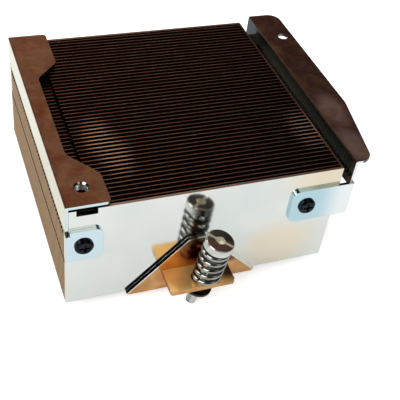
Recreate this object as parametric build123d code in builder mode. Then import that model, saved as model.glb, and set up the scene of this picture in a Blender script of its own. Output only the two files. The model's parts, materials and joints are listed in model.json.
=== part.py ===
from build123d import *
import os
from math import atan2, cos, pi, sin

# Processor heatsink for a server: a stack of folded sheet fins soldered over a
# copper base, two sheet brackets along its sides and two sprung captive screws.
# Millimetres. The origin is the middle of the copper contact face, +Z is up and
# the front, which shows the nearer captive screw, looks along -Y.

# Fin stack
fin_count = 49
fin_pitch = 1.66
fin_sheet = 0.4
end_plate_sheet = 0.8
stack_width = 80.0
fin_height = 35.0
stack_offset = 2.64
base_proud = 0.7

# Notch in every fin, which the copper base fills
notch_half_width = 19.36
notch_height = 17.6
notch_top_half_width = 2.54
front_flange_reach = 1.15

# Slot in the top edge of the fins, room for the collar of the left bracket
slot_width = 5.7
slot_depth = 1.9

# Small window in the free edge of each side flange, where the fins interlock
window_height = 0.75
window_length = 0.8
window_drop = 0.1

# Copper base and its screw ears
base_front_overhang = 0.95
base_rear_overhang = 0.4
ear_width = 19.3
ear_sheet = 1.6
ear_top = 6.96
ear_reach = 9.36
ear_corner = 0.8
ear_hole_radius = 2.5
ear_hole_reach = 5.6
ring_relief_radius = 5.0

# Sheet brackets
bracket_sheet = 0.9
bracket_gap = 0.75
bracket_end = 0.72
flange_level = 27.4
leg_length = 1.6
tab_bottom = 17.6
left_tab_top = 28.4
right_tab_top = 29.2
tab_corner = 2.4
tab_hole_radius = 1.7
bend_radius = 0.5
relief_width = 1.1
relief_height = 1.4
relief_back = 0.8

# Left bracket, measured inwards from the left side and back from the front plate
left_tab_width = 10.1
left_lobe_width = 12.1
left_lobe_length = 11.3
left_neck_width = 4.8
left_neck_start = 20.4
left_neck_end = 57.0
left_rear_lobe_width = 11.8
left_rear_lobe_start = 64.2
left_lobe_round = 5.0
left_rear_round = 3.0
left_corner = 1.2
left_hole_inset = 5.8
left_hole_depth = 6.9
left_hole_radius = 1.7
left_collar_radius = 2.5
left_collar_length = 1.6
left_hole_chamfer = 0.45

# Right bracket, measured outwards from the right side
right_gap = 3.6
right_tab_reach = 14.95
right_flange_reach = 14.08
right_taper_start = 27.0
right_nose_reach = 8.9
right_nose_round = 4.0
right_kink_round = 8.0
right_rear_round = 4.0
right_hole_reach = 10.4
right_hole_depth = 66.4
right_hole_radius = 1.7

# Screws that fasten the tabs to the end plates
left_screw_level = 22.9
right_screw_level = 23.4
left_screw_inset = 4.8
right_screw_inset = 9.85
tab_screw_radius = 1.5
tab_screw_length = 2.4
tab_head_radius = 2.6
tab_head_height = 1.1
tab_head_chamfer = 0.6
thread_clearance = 0.05
recess_length = 2.9
recess_width = 0.7
recess_depth = 0.7

# Captive screws, measured along the screw from the top face of the ear
screw_shank_radius = 1.5
screw_tip_radius = 1.5
screw_tip_end = 11.3
screw_head_radius = 4.15
screw_head_height = 2.6
screw_head_chamfer = 0.35
screw_socket_radius = 1.3
screw_socket_depth = 1.5
screw_slot_width = 0.8
screw_slot_depth = 0.7
ring_radius = 4.1
ring_sheet = 0.8
ring_drop = 3.3
ring_clearance = 0.05
groove_radius = 1.2
tip_chamfer = 0.4

# Springs
spring_length = 14.0
spring_outer_radius = 4.2
spring_wire = 1.5
spring_turns = 5.2
spring_closed_turns = 0.75
spring_sides = 6
spring_steps_per_turn = 12

# Rest of the nearer captive screw, which hangs loose in its ear and leans
front_screw_shift = (0.57, -0.45)
front_screw_lean = (0.179, -0.116)
front_spring_foot = (1.5, -0.95)

# Sizes that follow from those above
stack_depth = (fin_count - 1) * fin_pitch + fin_sheet
front = -stack_depth / 2
rear = stack_depth / 2
left = stack_offset - stack_width / 2
right = stack_offset + stack_width / 2
fin_bottom = base_proud
fin_top = fin_bottom + fin_height
bracket_top = fin_top + bracket_gap + bracket_sheet
bracket_rear = rear + bracket_end
side_level = fin_bottom + flange_level
tab_low = fin_bottom + tab_bottom
left_tab_high = fin_bottom + left_tab_top
right_tab_high = fin_bottom + right_tab_top
ear_face = fin_bottom + ear_top
left_screw = (left + left_screw_inset, fin_bottom + left_screw_level)
right_screw = (right - right_screw_inset, fin_bottom + right_screw_level)
left_hole = (left + left_hole_inset, front + left_hole_depth)
right_hole = (right + right_hole_reach, front + right_hole_depth)
spring_radius = spring_outer_radius - spring_wire / 2


def across(depth):
    """Upright plane across the stack at one depth, seen from the front."""
    return Plane.XZ.offset(-depth)


def notch_corners(grow):
    """Corners of the base notch, moved outwards by grow."""
    taper = notch_half_width - notch_top_half_width
    slant = atan2(notch_height, taper)
    half_bottom = notch_half_width + grow / sin(slant)
    height = notch_height + grow
    half_top = half_bottom - height * taper / notch_height
    return [
        (-half_bottom, fin_bottom),
        (-half_top, fin_bottom + height),
        (half_top, fin_bottom + height),
        (half_bottom, fin_bottom),
    ]


def fin_corners(step_level):
    """Corners of a fin seen from the front, its left edge set back above step_level."""
    slot_left = left_hole[0] - slot_width / 2
    slot_right = left_hole[0] + slot_width / 2
    return [
        (left, fin_bottom),
        *notch_corners(0),
        (right, fin_bottom),
        (right, fin_top),
        (slot_right, fin_top),
        (slot_right, fin_top - slot_depth),
        (slot_left, fin_top - slot_depth),
        (slot_left, fin_top),
        (left + bracket_sheet, fin_top),
        (left + bracket_sheet, step_level),
        (left, step_level),
    ]


def folded_fin(face, sheet, reach, step_level):
    """One fin: a sheet whose sides and notch edges fold forward to the fin before it."""
    with BuildPart() as fin:
        with BuildSketch(across(face)):
            with BuildLine():
                Polyline(*fin_corners(step_level), close=True)
            make_face()
        extrude(amount=-sheet)
        with BuildSketch(across(face)):
            with Locations((right - fin_sheet / 2, (fin_bottom + fin_top) / 2)):
                Rectangle(fin_sheet, fin_height)
            with Locations((left + fin_sheet / 2, (fin_bottom + step_level) / 2)):
                Rectangle(fin_sheet, step_level - fin_bottom)
            with BuildLine():
                Polyline(*notch_corners(fin_sheet), close=True)
            make_face()
            with BuildLine():
                Polyline(*notch_corners(0), close=True)
            make_face(mode=Mode.SUBTRACT)
        extrude(amount=reach)
        window_z = side_level - window_drop - window_height / 2
        with Locations((left, face - reach, window_z), (right, face - reach, window_z)):
            Box(3 * fin_sheet, 2 * window_length, window_height, mode=Mode.SUBTRACT)
    return fin


def tap_plate(face, inward):
    """Cuts the tapped holes for the tab screws through an end plate."""
    with BuildSketch(across(face)) as holes:
        with Locations(left_screw, right_screw):
            Circle(tab_screw_radius + thread_clearance)
    extrude(holes.sketch, amount=inward * end_plate_sheet, mode=Mode.SUBTRACT)


def front_end_plate():
    """Front plate: only its notch edges are folded, and they stand out at the front."""
    with BuildPart() as plate:
        with BuildSketch(across(front)):
            with BuildLine():
                Polyline(*fin_corners(tab_low), close=True)
            make_face()
        extrude(amount=-end_plate_sheet)
        with BuildSketch(across(front)):
            with BuildLine():
                Polyline(*notch_corners(fin_sheet), close=True)
            make_face()
            with BuildLine():
                Polyline(*notch_corners(0), close=True)
            make_face(mode=Mode.SUBTRACT)
        extrude(amount=front_flange_reach)
        tap_plate(front, inward=-1)
    return plate


def rear_end_plate():
    """Rear plate: a thicker fin, stepped for the legs of the brackets."""
    face = rear - end_plate_sheet
    reach = fin_pitch - end_plate_sheet
    plate = folded_fin(face, end_plate_sheet, reach, tab_low)
    with plate:
        tap_plate(rear, inward=1)
    return plate


def middle_fin(index):
    """Fin number index, counted from the front plate as number 1."""
    face = front + (index - 1) * fin_pitch
    if index == 2:
        fin = folded_fin(face, fin_sheet, fin_pitch - end_plate_sheet, tab_low)
    else:
        fin = folded_fin(face, fin_sheet, fin_pitch - fin_sheet, side_level)
    return fin


def base_block():
    """Copper base: a ridge that fills the notch, with a screw ear at each end."""
    with BuildPart() as base:
        with BuildSketch(across(front - base_front_overhang)):
            with BuildLine():
                Polyline(
                    (-notch_half_width, 0),
                    *notch_corners(0),
                    (notch_half_width, 0),
                    close=True,
                )
            make_face()
        extrude(amount=-(base_front_overhang + stack_depth + base_rear_overhang))
        with BuildSketch(Plane.XY.offset(ear_face)):
            RectangleRounded(ear_width, stack_depth + 2 * ear_reach, ear_corner)
        extrude(amount=-ear_sheet)
        hole_y = stack_depth / 2 + ear_hole_reach
        with BuildSketch(Plane.XY):
            with Locations((0, -hole_y), (0, hole_y)):
                Circle(ring_relief_radius)
        extrude(amount=ear_face - ear_sheet, mode=Mode.SUBTRACT)
        with BuildSketch(Plane.XY.offset(ear_face)):
            with Locations((0, -hole_y), (0, hole_y)):
                Circle(ear_hole_radius)
        extrude(amount=-ear_sheet, mode=Mode.SUBTRACT)
    return base


def round_corner(place, radius):
    """Rounds the corner of the outline in work that lies at place."""
    fillet(vertices().sort_by_distance(place)[0], radius)


def add_tabs(inner, outer, high, screw):
    """Adds the front and rear tab of a bracket, from the free end to its leg."""
    width = abs(outer - inner)
    middle = ((inner + outer) / 2, (tab_low + high) / 2)
    for face, outward in ((front, 1), (rear, -1)):
        with BuildSketch(across(face)) as tab:
            with Locations(middle):
                Rectangle(width, high - tab_low)
            round_corner((inner, tab_low), tab_corner)
            round_corner((inner, high), tab_corner)
            with Locations(screw):
                Circle(tab_hole_radius, mode=Mode.SUBTRACT)
        extrude(tab.sketch, amount=outward * bracket_sheet)


def add_wall(inner_face):
    """Adds the upright wall of a bracket and its two legs."""
    with BuildSketch(Plane.YZ.offset(inner_face)) as wall:
        with Locations(((front + bracket_rear) / 2, (side_level + bracket_top) / 2)):
            Rectangle(bracket_rear - front, bracket_top - side_level)
        leg_z = (tab_low + side_level) / 2
        ends = (front + leg_length / 2, rear - leg_length / 2)
        with Locations((ends[0], leg_z), (ends[1], leg_z)):
            Rectangle(leg_length, side_level - tab_low)
    extrude(wall.sketch, amount=bracket_sheet)


def left_side_bracket():
    """Left bracket: wall flush with the fins, lobed top flange and screwed tabs."""
    neck = left + left_neck_width
    lobe = left + left_lobe_width
    rear_lobe = left + left_rear_lobe_width
    lobe_end = front + left_lobe_length
    neck_start = front + left_neck_start
    neck_end = front + left_neck_end
    rear_start = front + left_rear_lobe_start
    with BuildPart() as bracket:
        add_wall(left)
        with BuildSketch(Plane.XY.offset(bracket_top)):
            with BuildLine():
                Polyline(
                    (left, front),
                    (lobe, front),
                    (lobe, lobe_end),
                    (neck, neck_start),
                    (neck, neck_end),
                    (rear_lobe, rear_start),
                    (rear_lobe, bracket_rear),
                    (left, bracket_rear),
                    close=True,
                )
            make_face()
            round_corner((lobe, front), left_corner)
            round_corner((lobe, lobe_end), left_lobe_round)
            round_corner((neck, neck_start), left_lobe_round)
            round_corner((neck, neck_end), left_rear_round)
            round_corner((rear_lobe, rear_start), left_rear_round)
            round_corner((rear_lobe, bracket_rear), left_corner)
        extrude(amount=-bracket_sheet)
        collar_bottom = bracket_top - bracket_sheet - left_collar_length
        with BuildSketch(Plane.XY.offset(collar_bottom)):
            with Locations(left_hole):
                Circle(left_collar_radius)
        extrude(amount=left_collar_length)
        with BuildSketch(Plane.XY.offset(collar_bottom)):
            with Locations(left_hole):
                Circle(left_hole_radius)
        extrude(amount=left_collar_length + bracket_sheet, mode=Mode.SUBTRACT)
        mouth = bracket.edges().sort_by_distance((*left_hole, bracket_top))[0]
        chamfer(mouth, left_hole_chamfer)
        add_tabs(left + left_tab_width, left, left_tab_high, left_screw)
        relief_z = left_tab_high - relief_height / 2
        relief_reach = 2 * (bracket_sheet + relief_back)
        with Locations(
            (left, front - bracket_sheet, relief_z),
            (left, rear + bracket_sheet, relief_z),
        ):
            Box(2 * relief_width, relief_reach, relief_height, mode=Mode.SUBTRACT)
        bend = bracket.edges().filter_by(Axis.Y).group_by(Axis.Z)[-1].sort_by(Axis.X)[0]
        fillet(bend, bend_radius)
    return bracket


def right_side_bracket():
    """Right bracket: wall clear of the fins, flange turned outwards and long tabs."""
    inner_face = right + right_gap
    outer_face = inner_face + bracket_sheet
    flange_edge = right + right_flange_reach
    nose = right + right_nose_reach
    taper_start = front + right_taper_start
    with BuildPart() as bracket:
        add_wall(inner_face)
        with BuildSketch(Plane.XY.offset(bracket_top)):
            with BuildLine():
                Polyline(
                    (inner_face, front),
                    (nose, front),
                    (flange_edge, taper_start),
                    (flange_edge, bracket_rear),
                    (inner_face, bracket_rear),
                    close=True,
                )
            make_face()
            round_corner((nose, front), right_nose_round)
            round_corner((flange_edge, taper_start), right_kink_round)
            round_corner((flange_edge, bracket_rear), right_rear_round)
        extrude(amount=-bracket_sheet)
        with BuildSketch(Plane.XY.offset(bracket_top)):
            with Locations(right_hole):
                Circle(right_hole_radius)
        extrude(amount=-bracket_sheet, mode=Mode.SUBTRACT)
        add_tabs(right - right_tab_reach, outer_face, right_tab_high, right_screw)
        bend = bracket.edges().filter_by(Axis.Y).group_by(Axis.Z)[-1].sort_by(Axis.X)[0]
        fillet(bend, bend_radius)
    return bracket


def tab_screws():
    """Four pan head screws with a cross recess, two at each end."""
    seats = []
    for x, z in (left_screw, right_screw):
        seats.append(Plane(origin=(x, front - bracket_sheet, z), z_dir=(0, -1, 0)))
        seats.append(Plane(origin=(x, rear + bracket_sheet, z), z_dir=(0, 1, 0)))
    with BuildPart() as screw:
        with BuildSketch(Plane.XY):
            Circle(tab_head_radius)
        extrude(amount=tab_head_height)
        chamfer(screw.edges().sort_by(Axis.Z)[-1], tab_head_chamfer)
        with BuildSketch(Plane.XY):
            Circle(tab_screw_radius)
        extrude(amount=-tab_screw_length)
        with BuildSketch(Plane.XY.offset(tab_head_height)):
            Rectangle(recess_length, recess_width)
            Rectangle(recess_width, recess_length)
        extrude(amount=-recess_depth, mode=Mode.SUBTRACT)
    with BuildPart() as screws:
        with Locations(*seats):
            add(screw.part)
    return screws


def captive_screw(seat):
    """Captive screw on seat, whose origin is the screw axis at the top of the ear."""
    head_low = spring_length
    head_high = spring_length + screw_head_height
    groove_high = -ring_drop + ring_clearance
    groove_low = -ring_drop - ring_sheet - ring_clearance
    tip = -screw_tip_end
    with BuildPart() as screw:
        with BuildSketch(Plane(origin=seat.origin, x_dir=seat.x_dir, z_dir=-seat.y_dir)):
            with BuildLine():
                Polyline(
                    (0, head_high),
                    (screw_head_radius - screw_head_chamfer, head_high),
                    (screw_head_radius, head_high - screw_head_chamfer),
                    (screw_head_radius, head_low),
                    (screw_shank_radius, head_low),
                    (screw_shank_radius, groove_high),
                    (groove_radius, groove_high),
                    (groove_radius, groove_low),
                    (screw_tip_radius, groove_low),
                    (screw_tip_radius, tip + tip_chamfer),
                    (screw_tip_radius - tip_chamfer, tip),
                    (0, tip),
                    close=True,
                )
            make_face()
        revolve(axis=Axis(seat.origin, seat.z_dir))
        with BuildSketch(seat.offset(head_high)):
            RegularPolygon(screw_socket_radius, 6)
        extrude(amount=-screw_socket_depth, mode=Mode.SUBTRACT)
        with BuildSketch(seat.offset(head_high)):
            Rectangle(2 * screw_head_radius, screw_slot_width)
        extrude(amount=-screw_slot_depth, mode=Mode.SUBTRACT)
    return screw


def retaining_ring(seat):
    """Ring in the groove of a captive screw, which keeps it in its ear."""
    with BuildPart() as ring:
        with BuildSketch(seat.offset(-ring_drop)):
            Circle(ring_radius)
            Circle(groove_radius + ring_clearance, mode=Mode.SUBTRACT)
        extrude(amount=-ring_sheet)
    return ring


def coil_point(foot, head, turn):
    """Point of the wire's middle line, turn turns up a spring with closed ends."""
    open_turns = spring_turns - 2 * spring_closed_turns
    lift = min(max(turn - spring_closed_turns, 0), open_turns)
    closed = turn - lift
    run = head.origin - foot.origin
    open_rise = run.length - spring_wire * (1 + 2 * spring_closed_turns)
    height = spring_wire * (0.5 + closed) + lift * open_rise / open_turns
    share = height / run.length
    centre = foot.origin + run * share
    angle = 2 * pi * turn
    across_x = foot.x_dir * (1 - share) + head.x_dir * share
    across_y = foot.y_dir * (1 - share) + head.y_dir * share
    return centre + (across_x * cos(angle) + across_y * sin(angle)) * spring_radius


def coil_spring(foot, head):
    """Compression spring from the foot plane on the ear to the head plane of the screw."""
    steps = round(spring_turns * spring_steps_per_turn)
    points = [coil_point(foot, head, spring_turns * i / steps) for i in range(steps + 1)]
    with BuildPart() as spring:
        with BuildLine() as wire:
            Polyline(*points)
        with BuildSketch(Plane(origin=wire.line @ 0, z_dir=wire.line % 0)):
            RegularPolygon(spring_wire / 2, spring_sides)
        sweep(transition=Transition.RIGHT)
    return spring


def write(name, piece):
    """Labels one finished piece and writes its STEP file."""
    piece.part.label = name
    export_step(piece.part, f"parts/{name}.step")


os.makedirs("parts", exist_ok=True)

write("front_plate", front_end_plate())
for number in range(2, fin_count):
    write(f"fin_{number:02d}", middle_fin(number))
write("rear_plate", rear_end_plate())
write("copper_base", base_block())
write("left_bracket", left_side_bracket())
write("right_bracket", right_side_bracket())
write("bracket_screws", tab_screws())

front_axis = Vector(*front_screw_lean, 1).normalized()
front_hole_y = front - ear_hole_reach
front_place = (front_screw_shift[0], front_hole_y + front_screw_shift[1], ear_face)
front_seat = Plane(origin=front_place, x_dir=(1, 0, 0), z_dir=front_axis)
front_foot_place = (front_spring_foot[0], front_hole_y + front_spring_foot[1], ear_face)
front_foot = Plane(origin=front_foot_place, x_dir=(1, 0, 0), z_dir=(0, 0, 1))
write("front_screw", captive_screw(front_seat))
write("front_ring", retaining_ring(front_seat))
write("front_spring", coil_spring(front_foot, front_seat.offset(spring_length)))

rear_seat = Plane(origin=(0, rear + ear_hole_reach, ear_face), z_dir=(0, 0, 1))
write("rear_screw", captive_screw(rear_seat))
write("rear_ring", retaining_ring(rear_seat))
write("rear_spring", coil_spring(rear_seat, rear_seat.offset(spring_length)))
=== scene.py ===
"""Looks of a processor heatsink: plated fins on a copper base with two sprung captive screws."""

import json
import logging
import math
from dataclasses import dataclass
from enum import Enum

import bmesh
import bpy
from mathutils import Matrix, Vector


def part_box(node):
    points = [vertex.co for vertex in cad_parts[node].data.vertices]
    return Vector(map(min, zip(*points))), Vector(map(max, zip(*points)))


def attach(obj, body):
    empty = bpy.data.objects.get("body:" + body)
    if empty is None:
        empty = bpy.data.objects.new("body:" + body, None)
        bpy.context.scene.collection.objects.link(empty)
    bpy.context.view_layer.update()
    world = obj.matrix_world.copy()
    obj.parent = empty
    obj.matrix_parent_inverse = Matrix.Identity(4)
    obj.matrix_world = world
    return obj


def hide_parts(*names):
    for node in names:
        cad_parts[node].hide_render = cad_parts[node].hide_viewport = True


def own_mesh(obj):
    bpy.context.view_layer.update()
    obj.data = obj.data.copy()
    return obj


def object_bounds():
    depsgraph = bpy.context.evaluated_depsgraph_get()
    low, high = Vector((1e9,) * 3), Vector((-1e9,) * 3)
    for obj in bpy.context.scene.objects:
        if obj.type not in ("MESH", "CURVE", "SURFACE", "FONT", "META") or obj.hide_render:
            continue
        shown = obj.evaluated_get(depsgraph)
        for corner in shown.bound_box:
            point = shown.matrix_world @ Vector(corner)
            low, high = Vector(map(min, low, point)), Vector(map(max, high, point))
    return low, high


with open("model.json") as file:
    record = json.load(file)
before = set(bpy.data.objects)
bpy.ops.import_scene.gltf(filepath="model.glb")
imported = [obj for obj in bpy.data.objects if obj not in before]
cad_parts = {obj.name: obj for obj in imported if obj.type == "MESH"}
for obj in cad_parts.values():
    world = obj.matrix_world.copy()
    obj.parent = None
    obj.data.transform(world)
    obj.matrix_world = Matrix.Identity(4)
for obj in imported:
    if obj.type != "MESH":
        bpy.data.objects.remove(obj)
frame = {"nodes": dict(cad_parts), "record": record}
CAD_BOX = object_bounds()

LOG = logging.getLogger("heatsink")
MM = 0.001
NEAR_BLACK = "#080605"
# A bound in metres, and a place in millimetres, that no surface of the part reaches.
FAR = 1.0
FAR_MM = 1000.0
# The Mix node gives its sockets of each kind the same names, so they go by index.
COLOUR_A, COLOUR_B, COLOUR_OUT = 6, 7, 2
VECTOR_A, VECTOR_B, VECTOR_OUT = 4, 5, 1
FLOAT_A, FLOAT_B, FLOAT_OUT = 2, 3, 0

# Three measures, mostly a place or a reach along X, Y and Z.
Triple = tuple[float, float, float]


class End(Enum):
    """The two ends of the base, each with an ear and a captive screw."""

    FRONT = "front"
    REAR = "rear"


def linear(hex_colour: str) -> tuple[float, float, float, float]:
    """Turns an sRGB hex colour into the linear colour that the shaders take.

    Args:
        hex_colour: Six hex digits after a hash sign.

    Returns:
        Red, green, blue and an alpha of one.
    """
    digits = hex_colour.lstrip("#")
    channels = []
    for start in (0, 2, 4):
        value = int(digits[start:start + 2], 16) / 255
        low = value / 12.92
        high = ((value + 0.055) / 1.055) ** 2.4
        channels.append(low if value <= 0.04045 else high)
    return (channels[0], channels[1], channels[2], 1.0)


def add_node(tree: bpy.types.NodeTree, kind: str, settings: dict | None = None,
             links: dict | None = None) -> bpy.types.Node:
    """Adds one node with its settings, input values and links.

    Args:
        tree: The node tree that gets the node.
        kind: Blender's name of the node type.
        settings: Properties of the node.
        links: Inputs by name or index, each a value or another node's output socket.

    Returns:
        The new node.
    """
    node = tree.nodes.new(kind)
    for name, value in (settings or {}).items():
        setattr(node, name, value)
    for key, value in (links or {}).items():
        socket = node.inputs[key]
        if isinstance(value, bpy.types.NodeSocket):
            tree.links.new(value, socket)
        else:
            socket.default_value = value
    return node


def between(tree: bpy.types.NodeTree, value: bpy.types.NodeSocket, low: float = -FAR,
            high: float = FAR) -> bpy.types.NodeSocket:
    """Masks the stretch where a measure lies between two bounds.

    Args:
        tree: The material's nodes.
        value: The measure, such as one coordinate in metres.
        low: Lower bound.
        high: Upper bound.

    Returns:
        One inside the stretch and zero outside.
    """
    above = add_node(tree, "ShaderNodeMath", {"operation": "GREATER_THAN"}, {0: value, 1: low})
    below = add_node(tree, "ShaderNodeMath", {"operation": "LESS_THAN"}, {0: value, 1: high})
    return all_of(tree, above.outputs[0], below.outputs[0])


def all_of(tree: bpy.types.NodeTree, *masks: bpy.types.NodeSocket) -> bpy.types.NodeSocket:
    """Joins masks into one that is set where all of them are.

    Args:
        tree: The material's nodes.
        masks: Two or more masks.

    Returns:
        Their product.
    """
    joined = masks[0]
    for mask in masks[1:]:
        joined = add_node(tree, "ShaderNodeMath", {"operation": "MULTIPLY"}, {
            0: joined, 1: mask}).outputs[0]
    return joined


def any_of(tree: bpy.types.NodeTree, *masks: bpy.types.NodeSocket) -> bpy.types.NodeSocket:
    """Joins masks into one that is set where any of them is.

    Args:
        tree: The material's nodes.
        masks: Two or more masks.

    Returns:
        The highest of them.
    """
    joined = masks[0]
    for mask in masks[1:]:
        joined = add_node(tree, "ShaderNodeMath", {"operation": "MAXIMUM"}, {
            0: joined, 1: mask}).outputs[0]
    return joined


def soft_spot(tree: bpy.types.NodeTree, place: bpy.types.NodeSocket, centre_mm: Triple,
              reach_mm: Triple, core: float = 0.25) -> bpy.types.NodeSocket:
    """Masks a soft oval spot on a surface.

    Args:
        tree: The material's nodes.
        place: The object's own coordinates.
        centre_mm: Middle of the spot.
        reach_mm: How far it reaches along each axis.
        core: Share of the reach over which the spot is full.

    Returns:
        One in the middle, fading to zero at the rim.
    """
    shifted = add_node(tree, "ShaderNodeVectorMath", {"operation": "SUBTRACT"}, {
        0: place, 1: [value * MM for value in centre_mm]})
    scaled = add_node(tree, "ShaderNodeVectorMath", {"operation": "DIVIDE"}, {
        0: shifted.outputs[0], 1: [value * MM for value in reach_mm]})
    away = add_node(tree, "ShaderNodeVectorMath", {"operation": "LENGTH"}, {
        0: scaled.outputs[0]})
    fade = add_node(tree, "ShaderNodeMapRange", {"interpolation_type": "SMOOTHSTEP"}, {
        "Value": away.outputs["Value"], "From Min": 1.0, "From Max": core})
    return fade.outputs["Result"]


@dataclass
class Surface:
    """What a finish hands to the shader: colour, roughness and share of bare metal."""

    colour: bpy.types.NodeSocket
    roughness: bpy.types.NodeSocket
    metallic: bpy.types.NodeSocket | None = None

    def cover(self, tree: bpy.types.NodeTree, mask: bpy.types.NodeSocket,
              colour: bpy.types.NodeSocket | tuple[float, ...],
              roughness: float | None = None) -> None:
        """Lays another colour, and another roughness if one is given, over a masked part.

        Args:
            tree: The material's nodes.
            mask: Share of the new surface.
            colour: Colour, or socket, of the new surface.
            roughness: Its roughness.
        """
        mixed = add_node(tree, "ShaderNodeMix", {"data_type": "RGBA"}, {
            "Factor": mask, COLOUR_A: self.colour, COLOUR_B: colour})
        self.colour = mixed.outputs[COLOUR_OUT]
        if roughness is not None:
            polish = add_node(tree, "ShaderNodeMix", {"data_type": "FLOAT"}, {
                "Factor": mask, FLOAT_A: self.roughness, FLOAT_B: roughness})
            self.roughness = polish.outputs[FLOAT_OUT]

    def dull(self, tree: bpy.types.NodeTree, mask: bpy.types.NodeSocket,
             share: float = 1.0) -> None:
        """Takes the mirror of bare metal off a masked part.

        Args:
            tree: The material's nodes.
            mask: Where the surface goes dull.
            share: How much of the mirror is lost there.
        """
        self.metallic = add_node(tree, "ShaderNodeMath", {"operation": "MULTIPLY_ADD"}, {
            0: mask, 1: -share, 2: 1.0}).outputs[0]

    def blacken(self, tree: bpy.types.NodeTree, mask: bpy.types.NodeSocket) -> None:
        """Turns a masked part into a dull black that shows no glare at any angle.

        Args:
            tree: The material's nodes.
            mask: Where the surface goes black.
        """
        self.cover(tree, mask, linear(NEAR_BLACK), 1.0)
        self.dull(tree, mask)


@dataclass(frozen=True)
class Metal:
    """A bare or plated metal: slow mottling of its polish, and edges that catch the light."""

    name: str
    colour: str
    shade: str
    roughness: float
    mottle_mm: float
    mottle_roughness: float = 0.05
    edge_mm: float = 0.12
    glare: str = "#ffffff"
    # The parts of the noise's range over which the tone and the polish change.
    tone_span: tuple[float, float] = (0.35, 0.65)
    polish_span: tuple[float, float] = (0.3, 0.7)
    finest_roughness: float = 0.02

    def detail(self, tree: bpy.types.NodeTree, place: bpy.types.NodeSocket,
               skin: Surface) -> None:
        """Adds what the surface has beyond its plain metal, which is nothing here.

        Args:
            tree: The material's nodes.
            place: The object's own coordinates.
            skin: The mottled surface, which is changed in place.
        """

    def build(self) -> bpy.types.Material:
        """Builds the node material.

        Returns:
            The finished material.
        """
        material = bpy.data.materials.new(self.name)
        material.use_nodes = True
        tree = material.node_tree
        shader = tree.nodes["Principled BSDF"]
        place = add_node(tree, "ShaderNodeTexCoord").outputs["Object"]
        mottle = add_node(tree, "ShaderNodeTexNoise", {}, {
            "Vector": place, "Scale": 1 / (self.mottle_mm * MM), "Detail": 3.0})
        spread = add_node(tree, "ShaderNodeMapRange", {}, {
            "Value": mottle.outputs["Fac"],
            "From Min": self.tone_span[0], "From Max": self.tone_span[1]})
        tone = add_node(tree, "ShaderNodeMix", {"data_type": "RGBA"}, {
            "Factor": spread.outputs["Result"],
            COLOUR_A: linear(self.colour), COLOUR_B: linear(self.shade)})
        polish = add_node(tree, "ShaderNodeMapRange", {}, {
            "Value": mottle.outputs["Fac"],
            "From Min": self.polish_span[0], "From Max": self.polish_span[1],
            "To Min": max(self.roughness - self.mottle_roughness, self.finest_roughness),
            "To Max": self.roughness + self.mottle_roughness})
        skin = Surface(tone.outputs[COLOUR_OUT], polish.outputs["Result"])
        self.detail(tree, place, skin)
        tree.links.new(skin.colour, shader.inputs["Base Color"])
        tree.links.new(skin.roughness, shader.inputs["Roughness"])
        shader.inputs["Metallic"].default_value = 1.0
        if skin.metallic is not None:
            tree.links.new(skin.metallic, shader.inputs["Metallic"])
        shader.inputs["Specular IOR Level"].default_value = 0.0
        shader.inputs["Specular Tint"].default_value = linear(self.glare)
        rounded = add_node(tree, "ShaderNodeBevel", {"samples": 6}, {
            "Radius": self.edge_mm * MM})
        tree.links.new(rounded.outputs["Normal"], shader.inputs["Normal"])
        return material


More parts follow.
